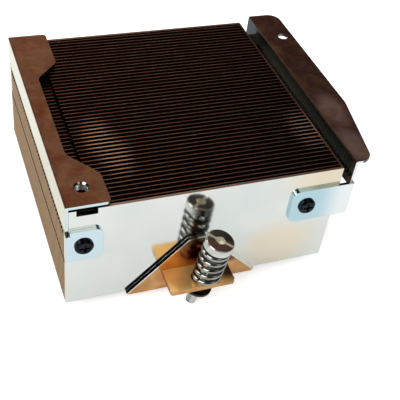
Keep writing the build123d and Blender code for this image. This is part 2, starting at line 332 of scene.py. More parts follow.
@dataclass(frozen=True)
class PlatedFin(Metal):
    """Thin nickel plated sheet: bright cut edges, dull folds painted a tan shade, and dark gaps
    of painted shade.
    """

    low_mm: Triple = (0.0, 0.0, 0.0)
    high_mm: Triple = (0.0, 0.0, 0.0)
    # Left side, right side and floor of the slot under the flange hole.
    slot_mm: Triple = (0.0, 0.0, 0.0)
    first_joint_mm: float = 0.0
    pitch_mm: float = 1.66
    # How far from a face a point still counts as lying on it.
    skin_mm: float = 0.03
    # Painted shade on the folded sides: a tan, mottled between these two tones.
    fold_colour: str = "#d8c1a8"
    fold_shade: str = "#c0a98f"
    fold_roughness: float = 0.4
    fold_mottle_mm: float = 2.5
    joint_half_mm: float = 0.2
    # Length, foot and head of the shade about each small window, and its lean along Y.
    window_mm: Triple = (1.05, 26.1, 28.1)
    window_lean: float = 0.93
    # The level seam of the folds, which stops short of each joint by a share of the pitch.
    seam_level_mm: float = 17.0
    seam_half_mm: float = 0.5
    seam_break: float = 0.14
    pale_patch_colour: str = "#fffae6"
    pale_patch_roughness: float = 0.24
    patches_mm: tuple[Triple, ...] = ((-21.5, -13.0, 35.7), (-19.0, -20.0, 35.7),
                                    (39.5, -21.0, 35.7))
    pale_patch_reach_mm: Triple = (6.5, 13.0, 4.0)
    # Painted shade: the tops darken from the front plate backwards.
    far_shade_colour: str = "#5a3f36"
    near_shade: float = 0.14
    far_shade: float = 0.3
    fade_mm: float = 50.0
    # Each top has a band of painted shade along its joint, which stops short of the ends of the
    # fin.
    band_shade_colour: str = "#4a3a34"
    band_shade_mm: float = 0.19
    band_shade_end_mm: float = 0.5

    def side_marks(self, tree: bpy.types.NodeTree, height: bpy.types.NodeSocket,
                   along: bpy.types.NodeSocket,
                   to_joint: bpy.types.NodeSocket) -> bpy.types.NodeSocket:
        """Masks the joints, the level seam and the painted shade about the small windows of the
        folded sides.

        Args:
            tree: The material's nodes.
            height: The Z of the surface.
            along: Its distance along Y from the first joint.
            to_joint: Its distance along Y from the nearest joint.

        Returns:
            One on the marks and zero elsewhere.
        """
        level, half, pitch = (value * MM for value in (
            self.seam_level_mm, self.seam_half_mm, self.pitch_mm))
        length, foot, head = (value * MM for value in self.window_mm)
        joint = between(tree, to_joint, high=self.joint_half_mm * MM)
        seam = all_of(tree, between(tree, height, level - half, level + half),
                      between(tree, to_joint, low=self.seam_break * pitch))
        leaned = add_node(tree, "ShaderNodeMath", {"operation": "MULTIPLY_ADD"}, {
            0: height, 1: self.window_lean, 2: along})
        past_joint = add_node(tree, "ShaderNodeMath", {"operation": "FLOORED_MODULO"}, {
            0: leaned.outputs[0], 1: pitch})
        window = all_of(tree, between(tree, past_joint.outputs[0], high=length),
                        between(tree, height, foot, head))
        return any_of(tree, joint, seam, window)

    def detail(self, tree: bpy.types.NodeTree, place: bpy.types.NodeSocket,
               skin: Surface) -> None:
        """Paints shade into the gaps and onto the tops, paints the folds a tan shade and draws
        the joints between the fins.

        Args:
            tree: The material's nodes.
            place: The object's own coordinates.
            skin: The mottled surface, which is changed in place.
        """
        left, front, bottom = (value * MM for value in self.low_mm)
        right, rear, top = (value * MM for value in self.high_mm)
        slot_left, slot_right, slot_floor = (value * MM for value in self.slot_mm)
        half = (right - left) / 2
        thin = self.skin_mm * MM
        axes = add_node(tree, "ShaderNodeSeparateXYZ", {}, {0: place}).outputs
        middle = add_node(tree, "ShaderNodeMath", {"operation": "SUBTRACT"}, {
            0: axes["X"], 1: (left + right) / 2})
        aside = add_node(tree, "ShaderNodeMath", {"operation": "ABSOLUTE"}, {
            0: middle.outputs[0]}).outputs[0]
        along = add_node(tree, "ShaderNodeMath", {"operation": "SUBTRACT"}, {
            0: axes["Y"], 1: self.first_joint_mm * MM}).outputs[0]
        to_joint = add_node(tree, "ShaderNodeMath", {"operation": "PINGPONG"}, {
            0: along, 1: self.pitch_mm * MM / 2}).outputs[0]
        in_slot = all_of(tree, between(tree, axes["X"], slot_left, slot_right),
                         between(tree, axes["Z"], slot_floor - thin, slot_floor + thin))
        clear = add_node(tree, "ShaderNodeMath", {"operation": "SUBTRACT"}, {
            0: 1.0, 1: in_slot}).outputs[0]
        gap = all_of(tree, clear, between(tree, axes["X"], left + thin, right - thin),
                     between(tree, axes["Y"], front + thin, rear - thin),
                     between(tree, axes["Z"], bottom + thin, top - thin))
        side = all_of(tree, between(tree, aside, low=half - thin),
                      between(tree, axes["Z"], high=top - thin))
        upward = any_of(tree, in_slot, between(tree, axes["Z"], low=top - thin))
        fading = add_node(tree, "ShaderNodeMapRange", {"interpolation_type": "SMOOTHSTEP"}, {
            "Value": axes["Y"], "From Min": front, "From Max": front + self.fade_mm * MM,
            "To Min": self.near_shade, "To Max": self.far_shade}).outputs["Result"]
        # Painted shade on the tops, deepening from the front plate backwards.
        skin.cover(tree, all_of(tree, upward, fading), linear(self.far_shade_colour))
        # Painted shade in a band along the joint of each top.
        shaded_band = all_of(tree, upward, between(tree, to_joint, high=self.band_shade_mm * MM),
                      between(tree, aside, high=half - self.band_shade_end_mm * MM))
        skin.cover(tree, shaded_band, linear(self.band_shade_colour))
        # Pale, rougher patches on the tops.
        patch_mask = any_of(tree, *(soft_spot(tree, place, centre, self.pale_patch_reach_mm)
                               for centre in self.patches_mm))
        skin.cover(tree, patch_mask, linear(self.pale_patch_colour), self.pale_patch_roughness)
        # Painted shade on the folded sides: a mottled tan.
        fold_mottle = add_node(tree, "ShaderNodeTexNoise", {}, {
            "Vector": place, "Scale": 1 / (self.fold_mottle_mm * MM), "Detail": 4.0})
        folds = add_node(tree, "ShaderNodeMix", {"data_type": "RGBA"}, {
            "Factor": fold_mottle.outputs["Fac"],
            COLOUR_A: linear(self.fold_colour), COLOUR_B: linear(self.fold_shade)})
        skin.cover(tree, side, folds.outputs[COLOUR_OUT], self.fold_roughness)
        marks = all_of(tree, side, self.side_marks(tree, axes["Z"], along, to_joint))
        # Painted shade: the gaps between the fins and the surrounds of the small windows go
        # black, along with the dark joints and the seam.
        skin.blacken(tree, any_of(tree, gap, marks))


@dataclass(frozen=True)
class PlatePolish(Metal):
    """Mirror bright nickel plate with warm patches towards its right end, a painted dark
    reflection on its folded edge and painted shade on its hidden faces.
    """

    front_mm: float = 0.0
    top_mm: float = 0.0
    sheet_mm: float = 0.8
    skin_mm: float = 0.02
    # The X that the left edge is cut back to, and the height above which it is.
    step_mm: tuple[float, float] = (0.0, 0.0)
    # The bright hem that the back shows along its top edge.
    hem_mm: float = 0.14
    # Each patch's X and Z, and its reach.
    warm: str = "#f0d8b0"
    patches_mm: tuple[tuple[float, float, Triple], ...] = (
        (27.0, 8.0, (17.0, 9.0, 15.0)), (40.0, 33.0, (22.0, 9.0, 9.0)))
    warm_patch_mm: float = 22.0
    # Painted reflection: the folded edge in front of the plate is dark.
    flange_dark_reflection: str = "#4b4340"
    flange_mm: float = 1.15

    def detail(self, tree: bpy.types.NodeTree, place: bpy.types.NodeSocket,
               skin: Surface) -> None:
        """Warms the patched corner, paints a dark reflection on the folded edge and paints shade
        on the hidden faces.

        Args:
            tree: The material's nodes.
            place: The object's own coordinates.
            skin: The mottled surface, which is changed in place.
        """
        axes = add_node(tree, "ShaderNodeSeparateXYZ", {}, {0: place}).outputs
        patches = add_node(tree, "ShaderNodeTexNoise", {}, {
            "Vector": place, "Scale": 1 / (self.warm_patch_mm * MM), "Detail": 2.0})
        corner = any_of(tree, *(soft_spot(tree, place, (across, self.front_mm, height), reach)
                                for across, height, reach in self.patches_mm))
        patch_mask = all_of(tree, corner, patches.outputs["Fac"])
        skin.cover(tree, patch_mask, linear(self.warm))
        # Painted reflection on the folded edge.
        flange = all_of(
            tree, between(tree, axes["X"], high=0.0),
            between(tree, axes["Y"], (self.front_mm - self.flange_mm + self.skin_mm) * MM,
                    (self.front_mm - self.skin_mm) * MM))
        skin.cover(tree, flange, linear(self.flange_dark_reflection))
        # Painted shade: the back of the plate below its hem and the cut-back left edge go black.
        back = (self.front_mm + self.sheet_mm - self.skin_mm / 2) * MM
        inner = all_of(tree, between(tree, axes["Y"], low=back),
                       between(tree, axes["Z"], high=(self.top_mm - self.hem_mm) * MM))
        cut_edge = all_of(tree, between(tree, axes["X"], high=self.step_mm[0] * MM),
                          between(tree, axes["Z"], low=self.step_mm[1] * MM))
        skin.blacken(tree, any_of(tree, inner, cut_edge))


@dataclass(frozen=True)
class ZincSheet(Metal):
    """Zinc plated pressed sheet: a painted bluish reflection on the tabs, painted cream light on
    the rolled edge, greasy dull tops and painted shade on the wall.
    """

    # Left side, front, rear and top of the sheet, and the wall that stands in the shade.
    sheet_mm: tuple[float, float, float, float] = (0.0, 0.0, 0.0, 0.0)
    wall_mm: float = FAR_MM
    skin_mm: float = 0.02
    # Painted reflection on the front and rear faces: bluish, paling to white towards the right.
    tab_reflection_blue: str = "#d3e7f0"
    tab_reflection_pale: str = "#f2f8fa"
    pale_from_mm: float = FAR_MM
    pale_fade_mm: float = 9.0
    leg_head_mm: float = 6.0
    # Painted light on the outer face of the left edge.
    side_light_cream: str = "#efecd6"
    # Painted shade on the inner face of the wall.
    wall_shade_colour: str = "#2b3d45"
    wall_fade_mm: float = 3.0
    wall_head_mm: float = 0.5
    # Grease and rust lie in patches: size of a patch, and how much of the noise shows.
    grease: str = "#bfb294"
    grease_patch: tuple[float, float] = (5.0, 0.44)
    rust: str = "#8e4a38"
    rust_patch: tuple[float, float] = (8.0, 0.46)
    patch_fade: float = 0.2
    patch_share: float = 0.65
    scuff: str = "#b0acae"
    scuff_roughness: float = 0.42
    scuffs_mm: tuple[Triple, ...] = ()
    scuff_reach_mm: Triple = (7.0, 13.0, 3.0)

    def detail(self, tree: bpy.types.NodeTree, place: bpy.types.NodeSocket,
               skin: Surface) -> None:
        """Tints the tops, and paints a reflection on the tabs, light on the left edge and shade
        on the wall that stands in the shade.

        Args:
            tree: The material's nodes.
            place: The object's own coordinates.
            skin: The mottled surface, which is changed in place.
        """
        left, front, rear, top = (value * MM for value in self.sheet_mm)
        wall, thin = self.wall_mm * MM, self.skin_mm * MM
        axes = add_node(tree, "ShaderNodeSeparateXYZ", {}, {0: place}).outputs
        flat = between(tree, axes["Z"], low=top - thin)
        for centre in self.scuffs_mm:
            scuff = all_of(tree, flat, soft_spot(tree, place, centre, self.scuff_reach_mm))
            skin.cover(tree, scuff, linear(self.scuff), self.scuff_roughness)
        for colour, (size_mm, start) in ((self.grease, self.grease_patch),
                                         (self.rust, self.rust_patch)):
            smears = add_node(tree, "ShaderNodeTexNoise", {}, {
                "Vector": place, "Scale": 1 / (size_mm * MM), "Detail": 6.0,
                "Roughness": 0.65, "Distortion": 0.8})
            patch = add_node(tree, "ShaderNodeMapRange", {}, {
                "Value": smears.outputs["Fac"], "From Min": start,
                "From Max": start + self.patch_fade, "To Max": self.patch_share})
            skin.cover(tree, all_of(tree, patch.outputs["Result"], flat), linear(colour))
        # Painted light: the outer face of the left edge is a pale cream.
        skin.cover(tree, between(tree, axes["X"], high=left + thin), linear(self.side_light_cream))
        # Painted reflection on the tabs, bluish and paling to the right.
        ahead = between(tree, axes["Y"], high=front + thin)
        behind = all_of(tree, between(tree, axes["Y"], low=rear - thin),
                        between(tree, axes["Z"], high=top - self.leg_head_mm * MM))
        paling = add_node(tree, "ShaderNodeMapRange", {"interpolation_type": "SMOOTHSTEP"}, {
            "Value": axes["X"], "From Min": self.pale_from_mm * MM,
            "From Max": (self.pale_from_mm + self.pale_fade_mm) * MM})
        blue = add_node(tree, "ShaderNodeMix", {"data_type": "RGBA"}, {
            "Factor": paling.outputs["Result"],
            COLOUR_A: linear(self.tab_reflection_blue), COLOUR_B: linear(self.tab_reflection_pale)})
        skin.cover(tree, any_of(tree, ahead, behind), blue.outputs[COLOUR_OUT])
        # Painted shade on the inner face of the wall, fading in from its front edge.
        inward = add_node(tree, "ShaderNodeMapRange", {"interpolation_type": "SMOOTHSTEP"}, {
            "Value": axes["Y"], "From Min": front,
            "From Max": front + self.wall_fade_mm * MM})
        shaded = all_of(tree, inward.outputs["Result"],
                        between(tree, axes["X"], wall - thin, wall + thin),
                        between(tree, axes["Z"], high=top - self.wall_head_mm * MM))
        skin.cover(tree, shaded, linear(self.wall_shade_colour))


@dataclass(frozen=True)
class MachinedCopper(Metal):
    """Bare milled copper: warm and golden, with red patches where it has begun to oxidise."""

    front_mm: float = 0.0
    ear_mm: float = 0.0
    skin_mm: float = 0.05
    oxide: str = "#b8603c"
    oxide_mm: float = 4.0
    oxide_span: tuple[float, float] = (0.5, 0.75)
    oxide_share: float = 0.5
    # The tops of the ears get painted light: a paler gold and less mirror.
    ear_top_light: str = "#fac97e"
    ear_dullness: float = 0.3
    # X and Z of the red part of the ridge, partly oxide and partly painted shade, and its reach.
    ridge_oxide_and_shade: str = "#b0502f"
    ridge_spot_mm: tuple[float, float] = (2.5, 12.5)
    ridge_reach_mm: Triple = (10.0, 3.0, 7.5)
    # X of the painted shadow and reflection of the spring on the front ear, and its distance
    # from the plate.
    spring_shadow: str = "#3a241a"
    spring_shadow_roughness: float = 0.3
    spring_shadow_spot_mm: tuple[float, float] = (9.2, 4.0)
    spring_shadow_reach_mm: Triple = (8.0, 9.0, 2.6)

    def detail(self, tree: bpy.types.NodeTree, place: bpy.types.NodeSocket,
               skin: Surface) -> None:
        """Adds the oxide patches, the painted light on the ear tops, the red ridge, which is
        partly painted shade, and the painted shadow and reflection of the spring on the nearer
        ear.

        Args:
            tree: The material's nodes.
            place: The object's own coordinates.
            skin: The mottled surface, which is changed in place.
        """
        bloom = add_node(tree, "ShaderNodeTexNoise", {}, {
            "Vector": place, "Scale": 1 / (self.oxide_mm * MM), "Detail": 6.0,
            "Distortion": 1.0})
        amount = add_node(tree, "ShaderNodeMapRange", {}, {
            "Value": bloom.outputs["Fac"], "From Min": self.oxide_span[0],
            "From Max": self.oxide_span[1], "To Max": self.oxide_share})
        skin.cover(tree, amount.outputs["Result"], linear(self.oxide))
        height = add_node(tree, "ShaderNodeSeparateXYZ", {}, {0: place}).outputs["Z"]
        # Painted light on the tops of the ears.
        ear = between(tree, height, (self.ear_mm - self.skin_mm) * MM,
                      (self.ear_mm + self.skin_mm) * MM)
        skin.cover(tree, ear, linear(self.ear_top_light))
        skin.dull(tree, ear, self.ear_dullness)
        # Red on the ridge: partly oxide, partly painted shade.
        across, level = self.ridge_spot_mm
        ridge = soft_spot(tree, place, (across, self.front_mm, level), self.ridge_reach_mm)
        skin.cover(tree, ridge, linear(self.ridge_oxide_and_shade))
        # Painted shadow and reflection of the spring on the ear's right end.
        across, ahead = self.spring_shadow_spot_mm
        corner = soft_spot(tree, place, (across, self.front_mm - ahead, self.ear_mm),
                           self.spring_shadow_reach_mm)
        skin.cover(tree, corner, linear(self.spring_shadow), self.spring_shadow_roughness)


@dataclass(frozen=True)
class ScrewSteel(Metal):
    """Bright plated steel about an axis: painted shade on the side towards the plate, dull in
    its recesses.
    """

    seat_mm: Triple = (0.0, 0.0, 0.0)
    axis: Triple = (0.0, 0.0, 1.0)
    inward: float = 1.0
    roof_mm: float = FAR_MM
    rim_mm: float = 0.0
    # The painted shade thickens over this stretch towards the plate and a little to the right.
    plate_side_shade: str = "#352a24"
    plate_side_shade_mm: tuple[float, float] = (0.3, 3.0)
    plate_side_lean: float = 0.5
    plate_side_share: float = 0.92
    plate_side_stop_mm: float = 0.3
    recess: str = "#fbf8ea"
    recess_roughness: float = 0.5
    recess_mm: tuple[float, float] = (0.03, 1.6)

    def detail(self, tree: bpy.types.NodeTree, place: bpy.types.NodeSocket,
               skin: Surface) -> None:
        """Paints shade on the side that faces the fins and dulls the slot and the socket.

        Args:
            tree: The material's nodes.
            place: The object's own coordinates.
            skin: The mottled surface, which is changed in place.
        """
        off = add_node(tree, "ShaderNodeVectorMath", {"operation": "SUBTRACT"}, {
            0: place, 1: [value * MM for value in self.seat_mm]}).outputs[0]
        height = add_node(tree, "ShaderNodeVectorMath", {"operation": "DOT_PRODUCT"}, {
            0: off, 1: self.axis}).outputs["Value"]
        along = add_node(tree, "ShaderNodeVectorMath", {"operation": "SCALE"}, {
            0: self.axis, "Scale": height}).outputs[0]
        spoke = add_node(tree, "ShaderNodeVectorMath", {"operation": "SUBTRACT"}, {
            0: off, 1: along}).outputs[0]
        away = add_node(tree, "ShaderNodeVectorMath", {"operation": "LENGTH"}, {
            0: spoke}).outputs["Value"]
        # Painted shade on the side that faces the plate.
        toward = add_node(tree, "ShaderNodeVectorMath", {"operation": "DOT_PRODUCT"}, {
            0: spoke, 1: (self.plate_side_lean, self.inward, 0.0)}).outputs["Value"]
        shaded_side = add_node(tree, "ShaderNodeMapRange", {"interpolation_type": "SMOOTHSTEP"}, {
            "Value": toward, "From Min": self.plate_side_shade_mm[0] * MM,
            "From Max": self.plate_side_shade_mm[1] * MM, "To Max": self.plate_side_share})
        below_roof = between(tree, height, 0.0, (self.roof_mm - self.plate_side_stop_mm) * MM)
        skin.cover(tree, all_of(tree, shaded_side.outputs["Result"], below_roof), linear(self.plate_side_shade))
        recess = all_of(tree, between(tree, away, high=self.rim_mm * MM),
                        between(tree, height, (self.roof_mm - self.recess_mm[1]) * MM,
                                (self.roof_mm - self.recess_mm[0]) * MM))
        skin.cover(tree, recess, linear(self.recess), self.recess_roughness)


@dataclass
class Photograph:
    """The photograph's own viewpoint, found from the straight edges of the fins."""

    place_mm: Triple = (-68.13, -180.42, 174.88)
    forward: Triple = (0.3195, 0.6654, -0.6746)
    roll_deg: float = 8.55
    lens_mm: float = 70.76
    sensor_mm: float = 36.0
    nearest: float = 0.01
    farthest: float = 20.0

    def build(self) -> None:
        """Makes the camera and gives it to the scene."""
        data = bpy.data.cameras.new("photograph")
        data.lens = self.lens_mm
        data.sensor_width = self.sensor_mm
        data.clip_start = self.nearest
        data.clip_end = self.farthest
        camera = bpy.data.objects.new("photograph", data)
        bpy.context.scene.collection.objects.link(camera)
        aim = Vector(self.forward).to_track_quat("-Z", "Y").to_matrix().to_4x4()
        turn = Matrix.Rotation(math.radians(self.roll_deg), 4, "Z")
        camera.matrix_world = Matrix.Translation(Vector(self.place_mm) * MM) @ aim @ turn
        bpy.context.scene.camera = camera


@dataclass
class Studio:
    """A white table in a dim brown room with a bright window at the front right."""

    backdrop: str = "#ffffff"
    diffuse_strength: float = 0.75
    # The room behind the heatsink from its left to its right, by the x of the direction.
    back_tones: tuple[tuple[float, str], ...] = (
        (-0.5, "#211915"), (-0.16, "#ab785d"), (0.14, "#ab785d"), (0.46, "#5d4238"),
        (1.0, "#352a26"))
    # The room behind the camera, by the same measure.
    front_tones: tuple[tuple[float, str], ...] = (
        (-0.7, "#0d0a09"), (-0.12, "#2b2320"), (0.3, "#4a3c32"), (0.8, "#1a1513"))
    # By the y of the direction, where the back of the room turns into its front.
    turn_of_room: tuple[float, float] = (0.1, -0.2)
    # By the z of the direction, where the pale edge of the table gives way to the room.
    horizon: str = "#c9d3d6"
    horizon_rise: tuple[float, float] = (0.04, 0.2)
    window: str = "#fff4e2"
    window_toward: Triple = (0.30, -0.66, 0.69)
    window_reach: float = 0.24
    window_core: float = 0.7
    window_strength: float = 1.1
    table_size: float = 6.0
    table_colour: str = "#f4f4f2"
    table_roughness: float = 0.9
    # Light that the table adds for the camera, and for what mirrors it.
    camera_glow: float = 0.55
    mirror_glow: float = 0.05
    lamp_place: Triple = (-0.9, -0.5, 0.8)
    lamp_size: float = 0.8
    lamp_watts: float = 9.0

    def tone_ramp(self, tree: bpy.types.NodeTree, across: bpy.types.NodeSocket,
                  tones: tuple[tuple[float, str], ...]) -> bpy.types.NodeSocket:
        """Spreads tones over the directions of the room.

        Args:
            tree: The world's nodes.
            across: The x of the direction, brought to the range from zero to one.
            tones: Pairs of a direction's x and its tone, from left to right.

        Returns:
            The tone's colour.
        """
        ramp = add_node(tree, "ShaderNodeValToRGB", {}, {"Fac": across})
        stops = ramp.color_ramp.elements
        while len(stops) < len(tones):
            stops.new(1.0)
        for stop, (toward, tone) in zip(stops, tones):
            stop.position = (toward + 1) / 2
            stop.color = linear(tone)
        return ramp.outputs["Color"]

    def build_room(self) -> None:
        """Gives the world its white backdrop and the tones that the metal reflects."""
        world = bpy.data.worlds.new("room")
        world.use_nodes = True
        bpy.context.scene.world = world
        tree = world.node_tree
        tree.nodes.clear()
        ray = add_node(tree, "ShaderNodeLightPath").outputs
        toward = add_node(tree, "ShaderNodeTexCoord").outputs["Generated"]
        axes = add_node(tree, "ShaderNodeSeparateXYZ", {}, {0: toward}).outputs
        across = add_node(tree, "ShaderNodeMath", {"operation": "MULTIPLY_ADD"}, {
            0: axes["X"], 1: 0.5, 2: 0.5}).outputs[0]
        apart = add_node(tree, "ShaderNodeVectorMath", {"operation": "DISTANCE"}, {
            0: toward, 1: Vector(self.window_toward).normalized()}).outputs["Value"]
        ahead, climb, pane = (
            add_node(tree, "ShaderNodeMapRange", {"interpolation_type": "SMOOTHSTEP"}, {
                "Value": measure, "From Min": start, "From Max": end}).outputs["Result"]
            for measure, (start, end) in (
                (axes["Y"], self.turn_of_room), (axes["Z"], self.horizon_rise),
                (apart, (self.window_reach, self.window_reach * self.window_core))))
        room = self.tone_ramp(tree, across, self.back_tones)
        front = self.tone_ramp(tree, across, self.front_tones)
        # Each layer has a tone under and over its share, where None is the room so far.
        for share, under, over in (
                (ahead, None, front), (climb, linear(self.horizon), None),
                (pane, None, linear(self.window))):
            room = add_node(tree, "ShaderNodeMix", {"data_type": "RGBA"}, {
                "Factor": share, COLOUR_A: under or room,
                COLOUR_B: over or room}).outputs[COLOUR_OUT]
        power = add_node(tree, "ShaderNodeMapRange", {}, {
            "Value": pane, "To Min": 1.0, "To Max": self.window_strength})
        mirrored = add_node(tree, "ShaderNodeBackground", {}, {
            "Color": room, "Strength": power.outputs["Result"]})
        soft = add_node(tree, "ShaderNodeBackground", {}, {
            "Color": linear(self.backdrop), "Strength": self.diffuse_strength})
        plain = add_node(tree, "ShaderNodeBackground", {}, {
            "Color": linear(self.backdrop), "Strength": 1.0})
        lit = add_node(tree, "ShaderNodeMixShader", {}, {
            0: ray["Is Glossy Ray"], 1: soft.outputs[0], 2: mirrored.outputs[0]})
        shown = add_node(tree, "ShaderNodeMixShader", {}, {
            0: ray["Is Camera Ray"], 1: lit.outputs[0], 2: plain.outputs[0]})
        add_node(tree, "ShaderNodeOutputWorld", {}, {"Surface": shown.outputs[0]})

    def build_table(self, level: float) -> None:
        """Lays the table top that the screw tips stand on.

        Args:
            level: Height of the table top in metres.
        """
        half = self.table_size / 2
        mesh = bpy.data.meshes.new("table_top")
        corners = [(-half, -half, level), (half, -half, level),
                   (half, half, level), (-half, half, level)]
        mesh.from_pydata(corners, [], [(0, 1, 2, 3)])
        table = bpy.data.objects.new("table_top", mesh)
        bpy.context.scene.collection.objects.link(table)
        # White matt laminate: an even pale ground that keeps the soft shadow.
        material = bpy.data.materials.new("white_table")
        material.use_nodes = True
        tree = material.node_tree
        shader = tree.nodes["Principled BSDF"]
        shader.inputs["Base Color"].default_value = linear(self.table_colour)
        shader.inputs["Roughness"].default_value = self.table_roughness
        ray = add_node(tree, "ShaderNodeLightPath").outputs
        to_camera = add_node(tree, "ShaderNodeMath", {"operation": "MULTIPLY"}, {
            0: ray["Is Camera Ray"], 1: self.camera_glow})
        strength = add_node(tree, "ShaderNodeMath", {"operation": "MULTIPLY_ADD"}, {
            0: ray["Is Glossy Ray"], 1: self.mirror_glow, 2: to_camera.outputs[0]})
        glow = add_node(tree, "ShaderNodeEmission", {}, {
            "Color": linear(self.backdrop), "Strength": strength.outputs[0]})
        lifted = add_node(tree, "ShaderNodeAddShader", {}, {
            0: shader.outputs[0], 1: glow.outputs[0]})
        tree.links.new(lifted.outputs[0], tree.nodes["Material Output"].inputs["Surface"])
        mesh.materials.append(material)

    def build_lamp(self) -> None:
        """Hangs the soft square lamp at the left, which points at the heatsink."""
        data = bpy.data.lights.new("left_window", "AREA")
        data.size = self.lamp_size
        data.energy = self.lamp_watts
        lamp = bpy.data.objects.new(data.name, data)
        bpy.context.scene.collection.objects.link(lamp)
        place = Vector(self.lamp_place)
        aim = (-place).to_track_quat("-Z", "Y").to_matrix().to_4x4()
        lamp.matrix_world = Matrix.Translation(place) @ aim


def dress(nodes: list[str], finish: Metal) -> None:
    """Gives one finish to the named pieces.

    Args:
        nodes: Names of the pieces of the frame.
        finish: The surface they get.
    """
    material = finish.build()
    for name in nodes:
        mesh = frame["nodes"][name].data
        mesh.materials.clear()
        mesh.materials.append(material)
    LOG.info("%s dresses %d pieces", finish.name, len(nodes))


def box_mm(node: str) -> tuple[Vector, Vector]:
    """Gives a piece's lowest and highest corner.

    Args:
        node: Name of the piece.

    Returns:
        The two corners in millimetres.
    """
    low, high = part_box(node)
    return Vector(low) / MM, Vector(high) / MM


def front_face_mm() -> float:
    """Gives the Y of the front plate's face, which lies as far out as the rear plate's."""
    return -box_mm("rear_plate")[1].y


def flange_hole_mm() -> Vector:
    """Gives the middle of the tapped hole of the left flange, in millimetres."""
    hole = next(m for m in frame["record"]["mounts"] if m["name"] == "left_flange_hole")
    return Vector(hole["pos_m"]) / MM


def add_piece(name: str, mesh: bpy.types.Mesh, material: bpy.types.Material) -> bpy.types.Object:
    """Adds a finished mesh to the scene as a piece of its own.

    Args:
        name: Name of the piece.
        mesh: Its mesh, in place.
        material: Its finish.

    Returns:
        The new object.
    """
    mesh.materials.clear()
    mesh.materials.append(material)
    piece = bpy.data.objects.new(name, mesh)
    bpy.context.scene.collection.objects.link(piece)
    LOG.info("%s: %d faces", name, len(mesh.polygons))
    return piece


@dataclass
class FinStack:
    """The middle fins between their two end plates, measured from the frame."""

    end_plate_mm: float = 0.8
    slot_half_mm: float = 2.85
    slot_depth_mm: float = 1.9
    # How far the left edge of the front plate is cut back, and from which height.
    step_mm: float = 0.93
    step_level_mm: float = 17.65
    warm_glare: str = "#cbb8a2"

    def dress(self) -> None:
        """Gives the fins and the end plates their plating."""
        middle = [name for name in frame["nodes"] if name.startswith("fin_")]
        low, high = box_mm("fin_10")
        pitch = box_mm("fin_11")[0].y - low.y
        front = front_face_mm()
        hole = flange_hole_mm()
        shared = {
            "low_mm": (low.x, front, low.z), "high_mm": (high.x, -front, high.z),
            "slot_mm": (hole.x - self.slot_half_mm, hole.x + self.slot_half_mm,
                        high.z - self.slot_depth_mm),
            "first_joint_mm": low.y, "pitch_mm": pitch, "glare": self.warm_glare}
        # Nickel over thin rolled sheet: a warm grey mirror, worn to a pale line on the edges;
        # its grey, darker and warmer than the plates', is painted shade.
        dress(middle, PlatedFin("nickel_plated_fins", "#c4b4ab", "#a89389", 0.22, 7.0,
                                **shared))
        # The same plating on a single broad sheet: brighter, because it is flat and has none of
        # the fins' painted shade.
        dress(["rear_plate"], PlatedFin("nickel_plated_rear_plate", "#e6e9e6", "#dadfdc",
                                        0.13, 14.0, **shared))
        # The thicker end plate is polished, so it shows the white table and the screw.
        dress(["front_plate"], PlatePolish(
            "nickel_plated_end_plate", "#e8ecea", "#dfe5e4", 0.11, 16.0,
            mottle_roughness=0.04, front_mm=front, top_mm=high.z, sheet_mm=self.end_plate_mm,
            step_mm=(low.x + self.step_mm, low.z + self.step_level_mm)))


@dataclass
class CopperBase:
    """The copper block with its ridge and its two ears."""

    ear_mm: float

    def dress(self) -> None:
        """Gives the block its milled copper."""
        # Milled copper, lightly tarnished: golden where it sees the window, red in its shade.
        dress(["copper_base"], MachinedCopper(
            "machined_copper", "#dcac78", "#c4915c", 0.2, 5.0, front_mm=front_face_mm(),
            ear_mm=self.ear_mm))


